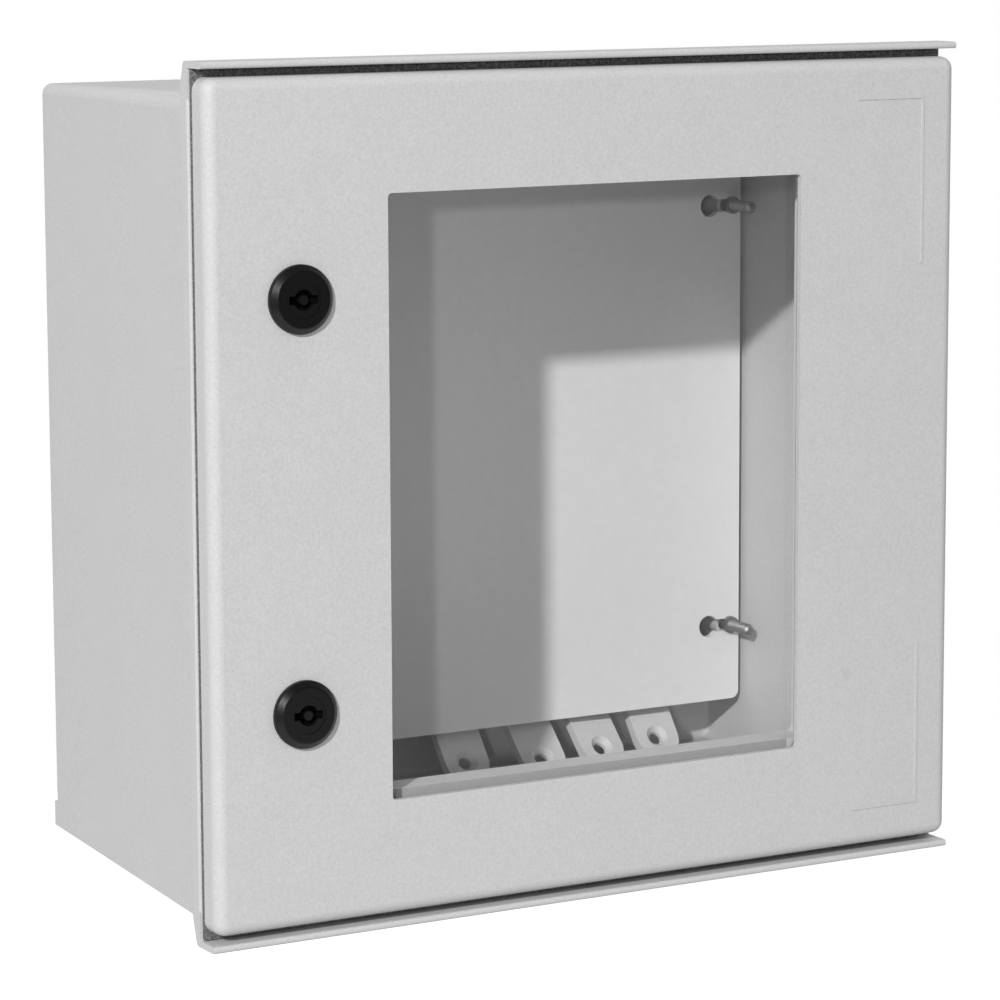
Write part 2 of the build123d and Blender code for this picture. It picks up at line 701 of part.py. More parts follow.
# Quarter-turn locks: housing, seal and nut on the door, and the rotor, cam and bolt that turn together
for side, level in lock_levels.items():
    with BuildPart() as lock_housing:
        with BuildSketch(turning_plane(lock_x, level)):
            with BuildLine():
                FilletPolyline(
                    (rotor_head_diameter / 2 + rotor_clearance, -lock_head_height),
                    (lock_face_diameter / 2, -lock_head_height),
                    (lock_head_diameter / 2, -lock_head_edge),
                    (lock_head_diameter / 2, 0),
                    (lock_shank_diameter / 2 + lock_seal_width, 0),
                    (lock_shank_diameter / 2 + lock_seal_width, -lock_seal_thickness),
                    (lock_shank_diameter / 2, -lock_seal_thickness),
                    (lock_shank_diameter / 2, lock_shank_length),
                    (rotor_shaft_diameter / 2 + rotor_clearance, lock_shank_length),
                    (rotor_shaft_diameter / 2 + rotor_clearance, rotor_seat),
                    (rotor_head_diameter / 2 + rotor_clearance, rotor_seat),
                    radius=[0, lock_head_radius, lock_head_radius, 0, 0, 0, 0, 0, 0, 0, 0],
                    close=True,
                )
            make_face()
        revolve(axis=turning_axis(lock_x, level))
    keep(lock_housing.part, f"{side}_lock_housing")

    with BuildPart() as lock_seal:
        with BuildSketch(behind_door(0)):
            with Locations((lock_x, level)):
                Circle(lock_shank_diameter / 2 + lock_seal_width)
                Circle(lock_shank_diameter / 2, mode=Mode.SUBTRACT)
        extrude(amount=lock_seal_thickness)
    keep(lock_seal.part, f"{side}_lock_seal")

    with BuildPart() as lock_nut:
        with BuildSketch(behind_door(door_skin + lock_nut_thickness)):
            with Locations((lock_x, level)):
                RegularPolygon(lock_nut_across / 2, 6, major_radius=False, rotation=30)
                Circle(lock_shank_diameter / 2 + lock_thread_clearance, mode=Mode.SUBTRACT)
        extrude(amount=lock_nut_thickness)
    keep(lock_nut.part, f"{side}_lock_nut")

    with BuildPart() as lock_rotor:
        with BuildSketch(turning_plane(lock_x, level)):
            with BuildLine():
                Polyline(
                    (0, rotor_recess - lock_head_height),
                    (rotor_head_diameter / 2, rotor_recess - lock_head_height),
                    (rotor_head_diameter / 2, rotor_seat - rotor_end_gap),
                    (rotor_shaft_diameter / 2, rotor_seat - rotor_end_gap),
                    (rotor_shaft_diameter / 2, cam_setback),
                    (0, cam_setback),
                    close=True,
                )
            make_face()
        revolve(axis=turning_axis(lock_x, level))
        with BuildSketch(behind_door(cam_setback + cam_thickness - cam_bolt_gap)):
            with Locations((lock_x, level)):
                Rectangle(cam_square, cam_square)
        extrude(amount=cam_thickness)
        with BuildSketch(behind_door(rotor_recess - lock_head_height)):
            with Locations((lock_x, level)):
                Circle(key_bore_diameter / 2)
                Rectangle(key_ear_span, key_ear_width)
                Circle(key_pin_diameter / 2, mode=Mode.SUBTRACT)
        extrude(amount=-key_depth, mode=Mode.SUBTRACT)
        with BuildSketch(behind_door(cam_setback + cam_thickness)):
            with Locations((lock_x, level)):
                Circle(cam_bolt_diameter / 2 + screw_clearance)
        extrude(amount=cam_bolt_grip + cam_bolt_gap, mode=Mode.SUBTRACT)
    keep(lock_rotor.part, f"{side}_lock_rotor")

    with BuildPart() as lock_cam:
        with BuildSketch(behind_door(cam_setback + cam_thickness)):
            with Locations((lock_x, level - (cam_reach - cam_width / 2) / 2)):
                SlotCenterToCenter(cam_reach - cam_width / 2, cam_width, rotation=90)
            with Locations((lock_x, level)):
                Rectangle(
                    cam_square + 2 * cam_square_clearance,
                    cam_square + 2 * cam_square_clearance,
                    mode=Mode.SUBTRACT,
                )
        extrude(amount=cam_thickness)
    keep(lock_cam.part, f"{side}_lock_cam")

    with BuildPart() as cam_bolt:
        with BuildSketch(behind_door(cam_setback + cam_thickness + cam_bolt_flange_thickness)):
            with Locations((lock_x, level)):
                Circle(cam_bolt_flange_diameter / 2)
        extrude(amount=cam_bolt_flange_thickness)
        with BuildSketch(behind_door(cam_setback + cam_thickness + cam_bolt_flange_thickness)):
            with Locations((lock_x, level)):
                RegularPolygon(cam_bolt_head / 2, 6, major_radius=False)
        extrude(amount=-cam_bolt_head_height)
        with BuildSketch(behind_door(cam_setback + cam_thickness)):
            with Locations((lock_x, level)):
                Circle(cam_bolt_diameter / 2)
        extrude(amount=cam_bolt_grip)
    keep(cam_bolt.part, f"{side}_cam_bolt")

    # Keeper: an angle on the body's rail, which the cam turns behind
    with BuildPart() as keeper:
        with BuildSketch(Plane.XY.offset(level)):
            with BuildLine():
                FilletPolyline(
                    (-rail_face, keeper_front - overall_depth),
                    (-rail_face + keeper_reach, keeper_front - overall_depth),
                    (-rail_face + keeper_reach, keeper_back - overall_depth),
                    (-rail_face + keeper_thickness, keeper_back - overall_depth),
                    (-rail_face + keeper_thickness, keeper_front + keeper_leg - overall_depth),
                    (-rail_face, keeper_front + keeper_leg - overall_depth),
                    radius=[keeper_outer_radius, 0, 0, keeper_bend_radius, 0, 0],
                    close=True,
                )
            make_face()
        extrude(amount=keeper_width / 2, both=True)
        with BuildSketch(Plane.YZ.offset(-rail_face)):
            with Locations(*[(y, level + z) for y, z in keeper_screw_spots]):
                Circle(keeper_screw_diameter / 2 + screw_clearance)
        extrude(amount=keeper_thickness, mode=Mode.SUBTRACT)
    keep(keeper.part, f"{side}_keeper")

with BuildPart() as keeper_screws:
    with BuildSketch(Plane.YZ.offset(keeper_thickness - rail_face)):
        with GridLocations(0, 2 * lock_z, 1, 2):
            with Locations(*keeper_screw_spots):
                Circle(keeper_screw_head_diameter / 2)
    extrude(amount=keeper_screw_head_height)
    with BuildSketch(Plane.YZ.offset(keeper_thickness - rail_face)):
        with GridLocations(0, 2 * lock_z, 1, 2):
            with Locations(*keeper_screw_spots):
                Circle(keeper_screw_diameter / 2)
    extrude(amount=-(keeper_thickness + keeper_screw_depth))
keep(keeper_screws.part, "keeper_screws")

# Wall-fixing lugs: they stand on the sloping floor and lean on the back wall, behind the plate
with BuildPart() as wall_lugs:
    for x, lean, turn in lug_places:
        underside = leaning_plane(x, lean, turn)
        with BuildSketch(underside):
            SlotCenterToCenter(lug_hole_pitch, lug_width)
            with Locations((lug_hole_pitch / 2, 0)):
                SlotCenterToCenter(lug_slot_length, lug_slot_width, mode=Mode.SUBTRACT)
        extrude(amount=lug_thickness)
        with Locations(underside.offset(lug_thickness)):
            with Locations((-lug_hole_pitch / 2, 0)):
                CounterSinkHole(
                    lug_hole_diameter / 2, lug_hole_diameter / 2 + lug_countersink_depth, depth=lug_thickness
                )
keep(wall_lugs.part, "wall_lugs")
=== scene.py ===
from math import pi, radians, tan

import bmesh
import bpy
from mathutils import Matrix, Vector


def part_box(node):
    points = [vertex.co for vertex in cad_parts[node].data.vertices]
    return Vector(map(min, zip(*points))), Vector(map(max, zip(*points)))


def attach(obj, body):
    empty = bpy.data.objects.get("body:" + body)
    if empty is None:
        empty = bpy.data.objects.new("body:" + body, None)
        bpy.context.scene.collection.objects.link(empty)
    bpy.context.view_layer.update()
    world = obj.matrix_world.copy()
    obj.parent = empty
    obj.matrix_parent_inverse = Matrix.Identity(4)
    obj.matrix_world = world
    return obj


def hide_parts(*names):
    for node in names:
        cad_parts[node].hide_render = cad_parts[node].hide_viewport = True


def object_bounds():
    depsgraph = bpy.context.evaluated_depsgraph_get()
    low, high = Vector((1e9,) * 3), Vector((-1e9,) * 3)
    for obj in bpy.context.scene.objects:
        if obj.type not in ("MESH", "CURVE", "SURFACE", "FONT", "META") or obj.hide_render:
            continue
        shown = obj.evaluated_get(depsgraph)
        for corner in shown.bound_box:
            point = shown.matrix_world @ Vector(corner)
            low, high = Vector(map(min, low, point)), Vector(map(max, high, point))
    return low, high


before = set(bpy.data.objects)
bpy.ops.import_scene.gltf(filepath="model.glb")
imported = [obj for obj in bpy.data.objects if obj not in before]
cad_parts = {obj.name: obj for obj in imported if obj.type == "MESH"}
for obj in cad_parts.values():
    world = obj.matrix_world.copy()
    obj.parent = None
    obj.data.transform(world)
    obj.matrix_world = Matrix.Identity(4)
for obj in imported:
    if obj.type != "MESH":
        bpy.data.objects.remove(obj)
cad_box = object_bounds()


# Enclosure body
# The shell with its side flanges, rain lips and sealing upstand is one moulding of glass-fibre
# polyester, pressed hot between steel tools whose spark-eroded faces leave a fine, even grain.
def linear(code):
    """An sRGB hex colour as the linear RGBA that shader sockets take."""
    shares = [int(code[i:i + 2], 16) / 255 for i in (1, 3, 5)]
    return *(s / 12.92 if s <= 0.04045 else ((s + 0.055) / 1.055) ** 2.4 for s in shares), 1.0


def add_node(tree, kind, inputs=None, **settings):
    """Add a node. An input takes a value, an output socket to link, or a list of such sockets."""
    node = tree.nodes.new(kind)
    for name, value in settings.items():
        setattr(node, name, value)
    for key, value in (inputs or {}).items():
        if isinstance(value, (list, bpy.types.NodeSocket)):
            for source in value if isinstance(value, list) else [value]:
                tree.links.new(source, node.inputs[key])
        else:
            node.inputs[key].default_value = value
    return node


def new_material(name):
    """An empty material that uses nodes, and its tree."""
    material = bpy.data.materials.new(name)
    material.use_nodes = True
    material.node_tree.nodes.clear()
    return material, material.node_tree


def dress(material, *nodes):
    """Give CAD nodes their finish."""
    for node in nodes:
        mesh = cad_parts[node].data
        mesh.materials.clear()
        mesh.materials.append(material)


grain_width = 1.1  # mm, spark-eroded grain
cloud_width = 28.0  # mm, uneven resin and glass
grain_relief = 0.08  # mm
cloud_share = 0.15  # of the mottling; the grain makes the rest


# Moulded polyester: an even light grey with a barely visible grain and slight clouds, and a dull
# sheen that turns soft where light grazes it.
def moulded_polyester(name, hollow, crest):
    """Grained polyester between two close greys, with its tree and its shader."""
    material, tree = new_material(name)
    place = add_node(tree, "ShaderNodeTexCoord").outputs["Object"]
    grain = add_node(
        tree, "ShaderNodeTexNoise", {"Vector": place, "Scale": 1000 / grain_width, "Detail": 2.0}
    ).outputs["Fac"]
    cloud = add_node(
        tree, "ShaderNodeTexNoise", {"Vector": place, "Scale": 1000 / cloud_width, "Detail": 3.0}
    ).outputs["Fac"]
    clouding = add_node(
        tree, "ShaderNodeMath", {0: cloud, 1: cloud_share}, operation="MULTIPLY"
    ).outputs[0]
    mottle = add_node(
        tree,
        "ShaderNodeMath",
        {0: grain, 1: 1 - cloud_share, 2: clouding},
        operation="MULTIPLY_ADD",
    ).outputs[0]
    grey = add_node(
        tree,
        "ShaderNodeMix",
        {"Factor": mottle, 6: linear(hollow), 7: linear(crest)},
        data_type="RGBA",
    ).outputs[2]
    relief = add_node(
        tree, "ShaderNodeBump", {"Height": grain, "Strength": 1.0, "Distance": grain_relief / 1000}
    ).outputs["Normal"]
    sheen = add_node(
        tree, "ShaderNodeMapRange", {"Value": grain, "To Min": 0.48, "To Max": 0.62}
    ).outputs["Result"]
    shader = add_node(
        tree,
        "ShaderNodeBsdfPrincipled",
        {"Base Color": grey, "Roughness": sheen, "Specular IOR Level": 0.3, "Normal": relief},
    )
    add_node(tree, "ShaderNodeOutputMaterial", {"Surface": shader.outputs["BSDF"]})
    return material, tree, shader


body_polyester, tree, shader = moulded_polyester("moulded polyester, body", "#B5B5B5", "#D5D5D5")
grey = shader.inputs["Base Color"].links[0].from_socket

# Inside the shell the grey is painted a little darker: painted shade that deepens the shade inside
# the box. The change lies in the middle of the drafted walls, where it can't be seen.
painted_inside_shade = 0.9  # share of the outer grey
slope = tan(radians(0.9))  # draft
mouth_depth = 0.189
half_width = 0.1925 - mouth_depth * slope
half_height = 0.1836 - mouth_depth * slope
half_back = 0.002  # half the back's thickness
place = add_node(tree, "ShaderNodeTexCoord").outputs["Object"]
reach = add_node(tree, "ShaderNodeVectorMath", {0: place}, operation="ABSOLUTE").outputs["Vector"]
inside = 1.0
for measure, limit in (
    ((1.0, -slope, 0.0), half_width),
    ((0.0, -slope, 1.0), half_height),
    ((0.0, -1.0, 0.0), -half_back),
):
    length = add_node(
        tree, "ShaderNodeVectorMath", {0: reach, 1: measure}, operation="DOT_PRODUCT"
    ).outputs["Value"]
    within = add_node(
        tree, "ShaderNodeMath", {0: length, 1: limit}, operation="LESS_THAN"
    ).outputs[0]
    inside = add_node(
        tree, "ShaderNodeMath", {0: inside, 1: within}, operation="MULTIPLY"
    ).outputs[0]
shade = add_node(
    tree, "ShaderNodeMapRange", {"Value": inside, "To Min": 1.0, "To Max": painted_inside_shade}
).outputs["Result"]
body_grey = add_node(
    tree, "ShaderNodeVectorMath", {0: grey, "Scale": shade}, operation="SCALE"
).outputs["Vector"]
tree.links.new(body_grey, shader.inputs["Base Color"])
dress(body_polyester, "enclosure_body")


# Threaded inserts
# Brass bushes, turned from bar, nickel-plated and moulded into the pillars and the back, so that
# studs and wall screws bite into metal. Only their rims show.
turning_pitch = 0.5  # mm, turning marks, drawn coarser than real so that they show
turning_depth = 0.02  # mm
wave_length = pi / 10  # m, of the wave texture at a scale of 1

# Nickel-plated brass: a dull silver with fine turning lines.
nickel_plate, tree = new_material("nickel-plated turned brass")
place = add_node(tree, "ShaderNodeTexCoord").outputs["Object"]
rings = add_node(
    tree,
    "ShaderNodeTexWave",
    {
        "Vector": place,
        "Scale": 1000 * wave_length / turning_pitch,
        "Distortion": 0.6,
        "Detail": 1.0,
    },
    wave_type="BANDS",
    bands_direction="Y",
).outputs["Fac"]
tarnish = add_node(
    tree,
    "ShaderNodeMix",
    {"Factor": rings, 6: linear("#8F8F8D"), 7: linear("#ACACAA")},
    data_type="RGBA",
).outputs[2]
grooves = add_node(
    tree, "ShaderNodeBump", {"Height": rings, "Strength": 0.5, "Distance": turning_depth / 1000}
).outputs["Normal"]
nickel = add_node(
    tree,
    "ShaderNodeBsdfPrincipled",
    {"Base Color": tarnish, "Metallic": 1.0, "Roughness": 0.4, "Normal": grooves},
)
add_node(tree, "ShaderNodeOutputMaterial", {"Surface": nickel.outputs["BSDF"]})
dress(nickel_plate, "stud_inserts", "wall_inserts")


# Mounting plate
# A flat sheet of pressed polyester that carries the devices. It hangs by keyhole slots on the four
# pillars and is clamped by the collars of the studs.
sheet_fibre = 7.0  # mm, chopped glass strands that show faintly through the resin
sheet_relief = 0.05  # mm

# Pressed polyester sheet: smoother and a little paler than the body, with pale short strands.
pressed_sheet, tree = new_material("pressed polyester sheet")
place = add_node(tree, "ShaderNodeTexCoord").outputs["Object"]
strands = add_node(
    tree,
    "ShaderNodeTexNoise",
    {
        "Vector": place,
        "Scale": 1000 / sheet_fibre,
        "Detail": 5.0,
        "Roughness": 0.7,
        "Distortion": 1.5,
    },
).outputs["Fac"]
pale = add_node(
    tree,
    "ShaderNodeMix",
    {"Factor": strands, 6: linear("#DEDEDE"), 7: linear("#EDEDED")},
    data_type="RGBA",
).outputs[2]
pressing = add_node(
    tree, "ShaderNodeBump", {"Height": strands, "Strength": 0.6, "Distance": sheet_relief / 1000}
).outputs["Normal"]
sheet = add_node(
    tree,
    "ShaderNodeBsdfPrincipled",
    {"Base Color": pale, "Roughness": 0.5, "Specular IOR Level": 0.3, "Normal": pressing},
)
add_node(tree, "ShaderNodeOutputMaterial", {"Surface": sheet.outputs["BSDF"]})
dress(pressed_sheet, "mounting_plate")


# Plate studs
# Four M6 studs of zinc-plated steel with rolled threads. Each screws through the plate into its
# insert, and its collar holds the plate down.
def solids_of(node):
    """The lowest and highest corner of each separate solid in a CAD node."""
    shape = bmesh.new()
    shape.from_mesh(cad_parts[node].data)
    bmesh.ops.remove_doubles(shape, verts=shape.verts, dist=1e-6)
    boxes = []
    waiting = set(shape.verts)
    while waiting:
        reached = [waiting.pop()]
        for vert in reached:
            near = {edge.other_vert(vert) for edge in vert.link_edges} & waiting
            waiting -= near
            reached.extend(near)
        corners = list(zip(*(vert.co for vert in reached)))
        boxes.append((Vector(map(min, corners)), Vector(map(max, corners))))
    shape.free()
    return boxes


def new_tree(name, sizes):
    """A Geometry Nodes tree that takes spots and named sizes, and the sockets of its inputs."""
    tree = bpy.data.node_groups.new(name, "GeometryNodeTree")
    tree.interface.new_socket("Spots", in_out="INPUT", socket_type="NodeSocketGeometry")
    for size in sizes:
        kind = "NodeSocketVector" if size == "Facing" else "NodeSocketFloat"
        tree.interface.new_socket(size, in_out="INPUT", socket_type=kind)
    tree.interface.new_socket("Pieces", in_out="OUTPUT", socket_type="NodeSocketGeometry")
    return tree, add_node(tree, "NodeGroupInput").outputs


def finish_tree(tree, spots, shape, material):
    """Put the shape on every spot, make it real and give it its material."""
    placed = add_node(tree, "GeometryNodeInstanceOnPoints", {"Points": spots, "Instance": shape})
    real = add_node(tree, "GeometryNodeRealizeInstances", {"Geometry": placed.outputs[0]})
    coated = add_node(
        tree, "GeometryNodeSetMaterial", {"Geometry": real.outputs[0], "Material": material}
    )
    add_node(tree, "NodeGroupOutput", {"Pieces": coated.outputs[0]})


crease = radians(35)  # sharper edges than this stay crisp


def grow(tree, name, spots, sizes):
    """Run a tree on the spots and keep the result as a plain mesh at the origin."""
    mesh = bpy.data.meshes.new(name)
    mesh.from_pydata(spots, [], [])
    piece = bpy.data.objects.new(name, mesh)
    bpy.context.scene.collection.objects.link(piece)
    maker = piece.modifiers.new("maker", "NODES")
    maker.node_group = tree
    for item in tree.interface.items_tree:
        if item.name in sizes:
            maker[item.identifier] = sizes[item.name]
    shaped = piece.evaluated_get(bpy.context.evaluated_depsgraph_get())
    piece.data = bpy.data.meshes.new_from_object(shaped)
    piece.modifiers.clear()
    piece.data.shade_smooth()
    piece.data.set_sharp_from_angle(angle=crease)
    return piece


bloom_width = 2.5  # mm, patches of the plating

# Zinc plate: a middling silver with a faint cloudy bloom and a soft shine.
zinc_plate, tree = new_material("zinc plate")
place = add_node(tree, "ShaderNodeTexCoord").outputs["Object"]
bloom = add_node(
    tree, "ShaderNodeTexNoise", {"Vector": place, "Scale": 1000 / bloom_width, "Detail": 4.0}
).outputs["Fac"]
silver = add_node(
    tree,
    "ShaderNodeMix",
    {"Factor": bloom, 6: linear("#7C7C7C"), 7: linear("#9E9E9E")},
    data_type="RGBA",
).outputs[2]
dullness = add_node(
    tree, "ShaderNodeMapRange", {"Value": bloom, "To Min": 0.44, "To Max": 0.6}
).outputs["Result"]
zinc = add_node(
    tree, "ShaderNodeBsdfPrincipled", {"Base Color": silver, "Metallic": 1.0, "Roughness": dullness}
)
add_node(tree, "ShaderNodeOutputMaterial", {"Surface": zinc.outputs["BSDF"]})

# The stud stands along Z and is turned to face the door. Its thread is a ridge swept round a helix.
towards_door = (pi / 2, 0.0, 0.0)
ridge_share = 0.34  # radius of the ridge, in pitches
tree, given = new_tree(
    "threaded_stud",
    [
        "Thread Radius", "Pitch", "Reach", "Grip", "Tip",
        "Collar Radius", "Collar Thickness", "Facing",
    ],
)
ridge_radius = add_node(
    tree, "ShaderNodeMath", {0: given["Pitch"], 1: ridge_share}, operation="MULTIPLY"
).outputs[0]
core_radius = add_node(
    tree, "ShaderNodeMath", {0: given["Thread Radius"], 1: ridge_radius}, operation="SUBTRACT"
).outputs[0]
thread_length = add_node(
    tree, "ShaderNodeMath", {0: given["Reach"], 1: given["Tip"]}, operation="SUBTRACT"
).outputs[0]
turns = add_node(
    tree, "ShaderNodeMath", {0: thread_length, 1: given["Pitch"]}, operation="DIVIDE"
).outputs[0]
helix = add_node(
    tree,
    "GeometryNodeCurveSpiral",
    {
        "Resolution": 18,
        "Rotations": turns,
        "Start Radius": core_radius,
        "End Radius": core_radius,
        "Height": thread_length,
    },
).outputs[0]
ridge = add_node(
    tree, "GeometryNodeCurvePrimitiveCircle", {"Resolution": 6, "Radius": ridge_radius}
).outputs[0]
thread = add_node(
    tree, "GeometryNodeCurveToMesh", {"Curve": helix, "Profile Curve": ridge, "Fill Caps": True}
).outputs[0]
core_length = add_node(
    tree, "ShaderNodeMath", {0: thread_length, 1: given["Grip"]}, operation="ADD"
).outputs[0]
core = add_node(
    tree, "GeometryNodeMeshCylinder", {"Vertices": 36, "Radius": core_radius, "Depth": core_length}
).outputs["Mesh"]
core_overhang = add_node(
    tree, "ShaderNodeMath", {0: thread_length, 1: given["Grip"]}, operation="SUBTRACT"
).outputs[0]
core_middle = add_node(
    tree, "ShaderNodeMath", {0: core_overhang, 1: 0.5}, operation="MULTIPLY"
).outputs[0]
core_shift = add_node(tree, "ShaderNodeCombineXYZ", {"Z": core_middle}).outputs[0]
core_placed = add_node(
    tree, "GeometryNodeTransform", {"Geometry": core, "Translation": core_shift}
).outputs[0]
tip_radius = add_node(
    tree, "ShaderNodeMath", {0: core_radius, 1: given["Tip"]}, operation="SUBTRACT"
).outputs[0]
tip = add_node(
    tree,
    "GeometryNodeMeshCone",
    {"Vertices": 36, "Radius Top": tip_radius, "Radius Bottom": core_radius, "Depth": given["Tip"]},
).outputs["Mesh"]
tip_shift = add_node(tree, "ShaderNodeCombineXYZ", {"Z": thread_length}).outputs[0]
tip_placed = add_node(
    tree, "GeometryNodeTransform", {"Geometry": tip, "Translation": tip_shift}
).outputs[0]
collar = add_node(
    tree,
    "GeometryNodeMeshCylinder",
    {"Vertices": 48, "Radius": given["Collar Radius"], "Depth": given["Collar Thickness"]},
).outputs["Mesh"]
collar_middle = add_node(
    tree, "ShaderNodeMath", {0: given["Collar Thickness"], 1: 0.5}, operation="MULTIPLY"
).outputs[0]
collar_shift = add_node(tree, "ShaderNodeCombineXYZ", {"Z": collar_middle}).outputs[0]
collar_placed = add_node(
    tree, "GeometryNodeTransform", {"Geometry": collar, "Translation": collar_shift}
).outputs[0]
stud = add_node(
    tree, "GeometryNodeJoinGeometry", {"Geometry": [thread, core_placed, tip_placed, collar_placed]}
).outputs[0]
stud_turned = add_node(
    tree, "GeometryNodeTransform", {"Geometry": stud, "Rotation": given["Facing"]}
).outputs[0]
finish_tree(tree, given["Spots"], stud_turned, zinc_plate)

plate_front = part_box("mounting_plate")[0].y
stud_boxes = solids_of("plate_studs")
studs = grow(
    tree,
    "threaded_studs",
    [((low.x + high.x) / 2, plate_front, (low.z + high.z) / 2) for low, high in stud_boxes],
    {
        "Thread Radius": 0.003,
        "Pitch": 0.001,
        "Reach": plate_front - stud_boxes[0][0].y,
        "Grip": stud_boxes[0][1].y - plate_front,
        "Tip": 0.0012,
        "Collar Radius": (stud_boxes[0][1].x - stud_boxes[0][0].x) / 2,
        "Collar Thickness": 0.0025,
        "Facing": towards_door,
    },
)
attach(studs, "body")
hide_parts("plate_studs")


# Wall-fixing lugs
# Four flat tongues of moulded polyester with a countersunk hole and a slot. They stand loose on the
# body's floor and lean on its back wall until they are screwed to its back.
lug_polyester = moulded_polyester("moulded polyester, lugs", "#C0C0C0", "#D6D6D6")[0]
dress(lug_polyester, "wall_lugs")


# Keepers
# Two angles folded from stainless sheet, which the lock cams turn behind. Each is held to a rail on
# the body's left wall by two pan-head screws of zinc-plated steel.
brush_width = 0.35  # mm, brushing lines
brush_depth = 0.01  # mm
brush_stretch = 0.03  # the pattern's scale along Z, which draws it out into lines

# Brushed stainless: a neutral silver with fine lines along the fold.
brushed_stainless, tree = new_material("brushed stainless sheet")
place = add_node(tree, "ShaderNodeTexCoord").outputs["Object"]
along = add_node(
    tree, "ShaderNodeMapping", {"Vector": place, "Scale": (1.0, 1.0, brush_stretch)}
).outputs["Vector"]
lines = add_node(
    tree, "ShaderNodeTexNoise", {"Vector": along, "Scale": 1000 / brush_width, "Detail": 2.0}
).outputs["Fac"]
steel_grey = add_node(
    tree,
    "ShaderNodeMix",
    {"Factor": lines, 6: linear("#A9A9A7"), 7: linear("#CFCFCD")},
    data_type="RGBA",
).outputs[2]
brushing = add_node(
    tree, "ShaderNodeBump", {"Height": lines, "Strength": 0.5, "Distance": brush_depth / 1000}
).outputs["Normal"]
stainless = add_node(
    tree,
    "ShaderNodeBsdfPrincipled",
    {"Base Color": steel_grey, "Metallic": 1.0, "Roughness": 0.34, "Normal": brushing},
)
add_node(tree, "ShaderNodeOutputMaterial", {"Surface": stainless.outputs["BSDF"]})
dress(brushed_stainless, "upper_keeper", "lower_keeper")

# A screw stands along Z with its seat at the spot: two stacked cones for the head, a shank below,
# and a cross cut into the crown.
screw_tree, given = new_tree(
    "cross_recess_screw",
    [
        "Seat Radius", "Rim Radius", "Crown Radius", "Lower Height", "Upper Height",
        "Shank Radius", "Shank Length", "Recess Span", "Recess Width", "Recess Depth", "Facing",
    ],
)
lower_head = add_node(
    screw_tree,
    "GeometryNodeMeshCone",
    {
        "Vertices": 40,
        "Radius Top": given["Rim Radius"],
        "Radius Bottom": given["Seat Radius"],
        "Depth": given["Lower Height"],
    },
).outputs["Mesh"]
upper_head = add_node(
    screw_tree,
    "GeometryNodeMeshCone",
    {
        "Vertices": 40,
        "Radius Top": given["Crown Radius"],
        "Radius Bottom": given["Rim Radius"],
        "Depth": given["Upper Height"],
    },
).outputs["Mesh"]
rim_shift = add_node(screw_tree, "ShaderNodeCombineXYZ", {"Z": given["Lower Height"]}).outputs[0]
upper_placed = add_node(
    screw_tree, "GeometryNodeTransform", {"Geometry": upper_head, "Translation": rim_shift}
).outputs[0]
shank = add_node(
    screw_tree,
    "GeometryNodeMeshCylinder",
    {"Vertices": 24, "Radius": given["Shank Radius"], "Depth": given["Shank Length"]},
).outputs["Mesh"]
shank_middle = add_node(
    screw_tree, "ShaderNodeMath", {0: given["Shank Length"], 1: -0.5}, operation="MULTIPLY"
).outputs[0]
shank_shift = add_node(screw_tree, "ShaderNodeCombineXYZ", {"Z": shank_middle}).outputs[0]
shank_placed = add_node(
    screw_tree, "GeometryNodeTransform", {"Geometry": shank, "Translation": shank_shift}
).outputs[0]
blank = add_node(
    screw_tree,
    "GeometryNodeMeshBoolean",
    {"Mesh 2": [lower_head, upper_placed, shank_placed]},
    operation="UNION",
).outputs["Mesh"]
cut_height = add_node(
    screw_tree, "ShaderNodeMath", {0: given["Recess Depth"], 1: 2.0}, operation="MULTIPLY"
).outputs[0]
slot_one = add_node(
    screw_tree,
    "ShaderNodeCombineXYZ",
    {"X": given["Recess Span"], "Y": given["Recess Width"], "Z": cut_height},
).outputs[0]
slot_two = add_node(
    screw_tree,
    "ShaderNodeCombineXYZ",
    {"X": given["Recess Width"], "Y": given["Recess Span"], "Z": cut_height},
).outputs[0]
bar_one = add_node(screw_tree, "GeometryNodeMeshCube", {"Size": slot_one}).outputs["Mesh"]
bar_two = add_node(screw_tree, "GeometryNodeMeshCube", {"Size": slot_two}).outputs["Mesh"]
crown_level = add_node(
    screw_tree,
    "ShaderNodeMath",
    {0: given["Lower Height"], 1: given["Upper Height"]},
    operation="ADD",
).outputs[0]
crown_shift = add_node(screw_tree, "ShaderNodeCombineXYZ", {"Z": crown_level}).outputs[0]
cross = add_node(
    screw_tree, "GeometryNodeMeshBoolean", {"Mesh 2": [bar_one, bar_two]}, operation="UNION"
).outputs["Mesh"]
cross_placed = add_node(
    screw_tree, "GeometryNodeTransform", {"Geometry": cross, "Translation": crown_shift}
).outputs[0]
screw = add_node(
    screw_tree,
    "GeometryNodeMeshBoolean",
    {"Mesh 1": blank, "Mesh 2": cross_placed},
    operation="DIFFERENCE",
).outputs["Mesh"]
screw_turned = add_node(
    screw_tree, "GeometryNodeTransform", {"Geometry": screw, "Rotation": given["Facing"]}
).outputs[0]
finish_tree(screw_tree, given["Spots"], screw_turned, zinc_plate)

